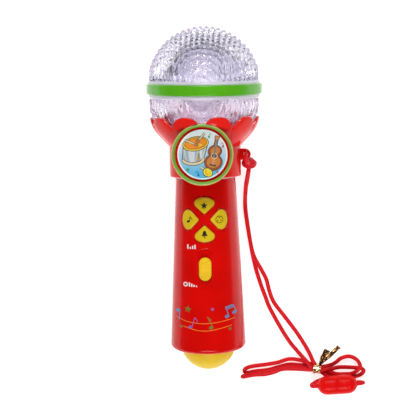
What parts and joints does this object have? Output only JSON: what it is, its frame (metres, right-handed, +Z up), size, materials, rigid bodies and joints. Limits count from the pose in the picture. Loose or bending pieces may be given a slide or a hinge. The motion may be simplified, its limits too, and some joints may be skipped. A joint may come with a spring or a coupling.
{
  "type": "toy microphone",
  "caption": "Handheld toy microphone with a clear studded globe, petal crown, picture badge, sound buttons, slide switch, battery door and a neck cord with a breakaway clasp.",
  "frame": {"origin": "middle of the footprint of the microphone lying on its back, on the surface it rests on; the neck cord lies beside it", "axes": "+Z up and out of the button side, +Y along the microphone towards the globe, +X to the right, where the cord lug is"},
  "size_m": [0.1326, 0.2277, 0.0705],
  "materials": {
    "red_plastic": "glossy moulded",
    "clear_plastic": "clear, faint lavender tint",
    "green_plastic": "glossy moulded",
    "bezel_green": "glossy moulded",
    "yellow_plastic": "semi-gloss moulded",
    "dome_yellow": "satin moulded",
    "picture_print": "printed disc",
    "white_plastic": "matt",
    "frosted_plastic": "frosted",
    "circuit_board": "solder mask",
    "black_plastic": "matt",
    "grey_rubber": "matt",
    "steel": "bright",
    "battery_wrap": "plastic wrap",
    "speaker_paper": "paper",
    "red_cord": "braided",
    "gold_foil": "crinkled foil",
    "wire_insulation": "soft",
    "led_red": "clear",
    "led_green": "clear",
    "led_blue": "clear"
  },
  "bodies": {
    "microphone": {"badge_bezel": "bezel_green", "badge_cup": "red_plastic", "badge_picture": "picture_print", "battery_1": "battery_wrap", "battery_2": "battery_wrap", "battery_tray": "black_plastic", "battery_wire": "wire_insulation", "case_screw_1": "steel", "case_screw_2": "steel", "case_screw_3": "steel", "case_screw_4": "steel", "clasp_half_a": "red_plastic", "contact_bridge": "steel", "contact_plate": "steel", "contact_spring_1": "steel", "contact_spring_2": "steel", "cord_hank": "red_cord", "cord_knot": "red_cord", "cord_lug_loop": "red_cord", "cord_strand_a": "red_cord", "cord_strand_b": "red_cord", "cord_tail_a": "red_cord", "cord_tail_b": "red_cord", "end_dome": "dome_yellow", "equator_band": "green_plastic", "front_shell": "red_plastic", "globe_lower": "clear_plastic", "globe_upper": "clear_plastic", "keypad_mat": "grey_rubber", "led_blue": "led_blue", "led_board": "circuit_board", "led_diffuser": "frosted_plastic", "led_green": "led_green", "led_red": "led_red", "led_wire": "wire_insulation", "main_board": "circuit_board", "petal_crown": "red_plastic", "rear_shell": "red_plastic", "reflector_plate": "white_plastic", "sound_chip": "black_plastic", "speaker_cone": "speaker_paper", "speaker_frame": "steel", "speaker_magnet": "black_plastic", "speaker_wire": "wire_insulation", "switch_can": "steel", "twist_tie": "gold_foil"},
    "button_top_key": {"button_top": "yellow_plastic", "key_pill_top": "grey_rubber"},
    "button_bottom_key": {"button_bottom": "yellow_plastic", "key_pill_bottom": "grey_rubber"},
    "button_left_key": {"button_left": "yellow_plastic", "key_pill_left": "grey_rubber"},
    "button_right_key": {"button_right": "yellow_plastic", "key_pill_right": "grey_rubber"},
    "power_switch": {"slide_knob": "yellow_plastic", "switch_lever": "black_plastic"},
    "battery_cover": {"battery_door": "red_plastic", "door_screw": "steel"},
    "clasp_release_end": {"clasp_half_b": "red_plastic", "cord_end_b": "red_cord"}
  },
  "joints": [
    {"name": "press_top", "type": "slide", "parent": "microphone", "child": "button_top_key", "axis": [0, 0.0793, -0.9969], "range_m": [0, 0.0012], "stiffness_N_per_m": 400},
    {"name": "press_bottom", "type": "slide", "parent": "microphone", "child": "button_bottom_key", "axis": [0, 0.0793, -0.9969], "range_m": [0, 0.0012], "stiffness_N_per_m": 400},
    {"name": "press_left", "type": "slide", "parent": "microphone", "child": "button_left_key", "axis": [0, 0.0793, -0.9969], "range_m": [0, 0.0012], "stiffness_N_per_m": 400},
    {"name": "press_right", "type": "slide", "parent": "microphone", "child": "button_right_key", "axis": [0, 0.0793, -0.9969], "range_m": [0, 0.0012], "stiffness_N_per_m": 400},
    {"name": "power_slide", "type": "slide", "parent": "microphone", "child": "power_switch", "axis": [0, 0.9969, 0.0793], "range_m": [0, 0.0045]},
    {"name": "battery_door_slide", "type": "slide", "parent": "microphone", "child": "battery_cover", "axis": [0, -0.9919, -0.1271], "range_m": [0, 0.025]},
    {"name": "clasp_release", "type": "slide", "parent": "microphone", "child": "clasp_release_end", "axis": [0.9982, 0.0606, 0], "range_m": [0, 0.005]}
  ]
}
